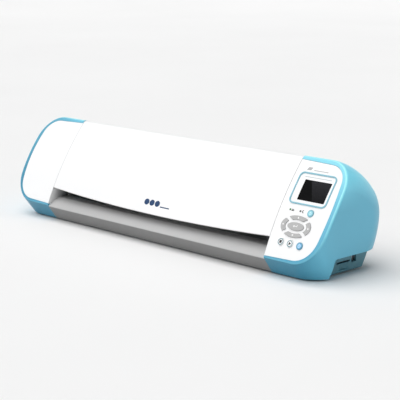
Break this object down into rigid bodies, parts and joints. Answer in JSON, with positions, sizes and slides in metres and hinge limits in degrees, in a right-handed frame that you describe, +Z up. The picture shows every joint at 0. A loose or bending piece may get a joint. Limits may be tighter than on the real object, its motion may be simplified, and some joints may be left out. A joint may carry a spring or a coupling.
{
  "type": "desktop vinyl cutter",
  "caption": "Desktop roll-fed vinyl cutter: hinged front lid over a feed tray, rounded end caps, small screen and keypad, grit-roller feed and a belt-driven blade carriage.",
  "frame": {"origin": "bottom centre of the bounding box, on the surface the feet stand on", "axes": "+X along the machine towards the keypad end, +Y from the front to the back, +Z up"},
  "size_m": [0.5552, 0.1316, 0.1298],
  "materials": {
    "white_shell": "satin moulded white",
    "aqua_shell": "satin moulded aqua",
    "teal_base": "fine textured dark teal",
    "grey_tray": "fine textured grey",
    "platen_grey": "fine textured",
    "strip_white": "smooth low-friction strip",
    "aqua_trim": "smooth",
    "blue_key": "smooth",
    "key_grey": "silicone, printed marks",
    "key_white": "smooth, printed marks",
    "screen_black": "dark screen window",
    "module_metal": "stamped tin can",
    "led_lens": "clear tinted",
    "board_green": "solder mask",
    "switch_black": "moulded black",
    "socket_metal": "stamped shell",
    "frame_steel": "galvanised sheet",
    "shaft_steel": "ground bar",
    "rail_aluminium": "anodised",
    "motor_black": "black can",
    "gear_white": "acetal",
    "pinion_brass": "machined",
    "bushing_bronze": "sintered",
    "belt_rubber": "moulded belt",
    "roller_rubber": "ground rubber",
    "carriage_grey": "glass-filled nylon",
    "holder_blue": "anodised",
    "screw_zinc": "zinc plated",
    "spring_steel": "drawn wire",
    "foot_rubber": "moulded"
  },
  "bodies": {
    "body": {"rear_cover": "white_shell", "right_panel": "white_shell", "left_panel": "white_shell", "right_end_cap": "aqua_shell", "left_end_cap": "aqua_shell", "base_pan": "teal_base", "front_apron": "grey_tray", "platen": "platen_grey", "cutting_strip": "strip_white", "screen_frame": "aqua_trim", "screen_glass": "screen_black", "lcd_module": "module_metal", "indicator_leds": "led_lens", "control_board": "board_green", "main_board": "board_green", "tact_switches": "switch_black", "usb_socket": "socket_metal", "card_socket": "socket_metal", "power_socket": "switch_black", "right_side_frame": "frame_steel", "left_side_frame": "frame_steel", "feed_motor_bracket": "frame_steel", "guide_rod": "shaft_steel", "hinge_pins": "shaft_steel", "idler_pin": "shaft_steel", "guide_rail": "rail_aluminium", "feed_motor": "motor_black", "carriage_motor": "motor_black", "shaft_bushings": "bushing_bronze", "timing_belt": "belt_rubber", "housing_screws": "screw_zinc", "frame_screws": "screw_zinc", "pinch_springs": "spring_steel", "rubber_feet": "foot_rubber"},
    "lid": {"lid": "white_shell"},
    "feed_roll": {"drive_shaft": "shaft_steel", "drive_gear": "gear_white"},
    "feed_pinion": {"motor_pinion": "pinion_brass"},
    "lift_bar": {"lift_shaft": "shaft_steel", "lift_lever": "aqua_trim"},
    "arm_left": {"pinch_arm_left": "carriage_grey"},
    "arm_right": {"pinch_arm_right": "carriage_grey"},
    "roller_left": {"pinch_roller_left": "roller_rubber"},
    "roller_right": {"pinch_roller_right": "roller_rubber"},
    "carriage": {"carriage_body": "carriage_grey", "tool_solenoid": "motor_black"},
    "tool": {"tool_slider": "carriage_grey", "blade_holder": "holder_blue"},
    "clamp": {"clamp_knob": "switch_black"},
    "belt_drive": {"drive_pulley": "rail_aluminium"},
    "belt_idler": {"idler_pulley": "rail_aluminium"},
    "key_up": {"button_up": "key_grey"},
    "key_down": {"button_down": "key_grey"},
    "key_left": {"button_left": "key_grey"},
    "key_right": {"button_right": "key_grey"},
    "key_enter": {"button_enter": "key_grey"},
    "key_menu": {"button_menu": "aqua_trim"},
    "key_stop": {"button_stop": "key_white"},
    "key_start": {"button_start": "key_white"},
    "key_power": {"button_power": "blue_key"}
  },
  "joints": [
    {"name": "lid_hinge", "type": "hinge", "parent": "body", "child": "lid", "pos_m": [0, 0.01504, 0.12101], "axis": [-1, 0, 0], "range_deg": [0, 78]},
    {"name": "feed_spin", "type": "hinge", "parent": "body", "child": "feed_roll", "pos_m": [0, 0.00568, 0.0222], "axis": [1, 0, 0], "continuous": true},
    {"name": "feed_motor_spin", "type": "hinge", "parent": "body", "child": "feed_pinion", "pos_m": [-0.212, 0.02222, 0.03608], "axis": [1, 0, 0], "continuous": true},
    {"name": "lift_lever_swing", "type": "hinge", "parent": "body", "child": "lift_bar", "pos_m": [-0.1875, 0.03367, 0.046], "axis": [-1, 0, 0], "range_deg": [0, 24.5]},
    {"name": "pinch_arm_left_swing", "type": "hinge", "parent": "body", "child": "arm_left", "pos_m": [-0.15, 0.03367, 0.046], "axis": [-1, 0, 0], "range_deg": [0, 6.9]},
    {"name": "pinch_roller_left_spin", "type": "hinge", "parent": "arm_left", "child": "roller_left", "pos_m": [-0.15, 0.00568, 0.0368], "axis": [1, 0, 0], "continuous": true},
    {"name": "pinch_arm_right_swing", "type": "hinge", "parent": "body", "child": "arm_right", "pos_m": [0.118, 0.03367, 0.046], "axis": [-1, 0, 0], "range_deg": [0, 6.9]},
    {"name": "pinch_roller_right_spin", "type": "hinge", "parent": "arm_right", "child": "roller_right", "pos_m": [0.118, 0.00568, 0.0368], "axis": [1, 0, 0], "continuous": true},
    {"name": "carriage_travel", "type": "slide", "parent": "body", "child": "carriage", "axis": [1, 0, 0], "range_m": [-0.316, 0]},
    {"name": "tool_lift", "type": "slide", "parent": "carriage", "child": "tool", "axis": [0, 0, 1], "range_m": [-0.0022, 0], "stiffness_N_per_m": 200, "springref_m": 0.004},
    {"name": "clamp_screw", "type": "hinge", "parent": "tool", "child": "clamp", "pos_m": [0.166, -0.02133, 0.0552], "axis": [0, -1, 0], "range_deg": [0, 150]},
    {"name": "belt_drive_spin", "type": "hinge", "parent": "body", "child": "belt_drive", "pos_m": [0.224, 0.02768, 0.076], "axis": [0, 1, 0], "continuous": true},
    {"name": "belt_idler_spin", "type": "hinge", "parent": "body", "child": "belt_idler", "pos_m": [-0.214, 0.02768, 0.076], "axis": [0, 1, 0], "continuous": true},
    {"name": "key_up_press", "type": "slide", "parent": "body", "child": "key_up", "axis": [0, 0.8775, -0.4796], "range_m": [0, 0.0008], "stiffness_N_per_m": 1500},
    {"name": "key_down_press", "type": "slide", "parent": "body", "child": "key_down", "axis": [0, 0.8775, -0.4796], "range_m": [0, 0.0008], "stiffness_N_per_m": 1500},
    {"name": "key_left_press", "type": "slide", "parent": "body", "child": "key_left", "axis": [0, 0.8775, -0.4796], "range_m": [0, 0.0008], "stiffness_N_per_m": 1500},
    {"name": "key_right_press", "type": "slide", "parent": "body", "child": "key_right", "axis": [0, 0.8775, -0.4796], "range_m": [0, 0.0008], "stiffness_N_per_m": 1500},
    {"name": "key_enter_press", "type": "slide", "parent": "body", "child": "key_enter", "axis": [0, 0.8775, -0.4796], "range_m": [0, 0.0008], "stiffness_N_per_m": 1500},
    {"name": "key_menu_press", "type": "slide", "parent": "body", "child": "key_menu", "axis": [0, 0.855, -0.5187], "range_m": [0, 0.0008], "stiffness_N_per_m": 1500},
    {"name": "key_stop_press", "type": "slide", "parent": "body", "child": "key_stop", "axis": [0, 0.9006, -0.4346], "range_m": [0, 0.0008], "stiffness_N_per_m": 1500},
    {"name": "key_start_press", "type": "slide", "parent": "body", "child": "key_start", "axis": [0, 0.9008, -0.4342], "range_m": [0, 0.0008], "stiffness_N_per_m": 1500},
    {"name": "key_power_press", "type": "slide", "parent": "body", "child": "key_power", "axis": [0, 0.9012, -0.4335], "range_m": [0, 0.0008], "stiffness_N_per_m": 1500}
  ],
  "couplings": [
    {"joint": "feed_motor_spin", "follows": "feed_spin", "ratio": -2},
    {"joint": "pinch_roller_left_spin", "follows": "feed_spin", "ratio": -1.2308},
    {"joint": "pinch_roller_right_spin", "follows": "feed_spin", "ratio": -1.2308},
    {"joint": "pinch_arm_left_swing", "follows": "lift_lever_swing", "ratio": 0.28},
    {"joint": "pinch_arm_right_swing", "follows": "lift_lever_swing", "ratio": 0.28},
    {"joint": "belt_drive_spin", "follows": "carriage_travel", "rad_per_m": -156.25},
    {"joint": "belt_idler_spin", "follows": "carriage_travel", "rad_per_m": -156.25}
  ]
}
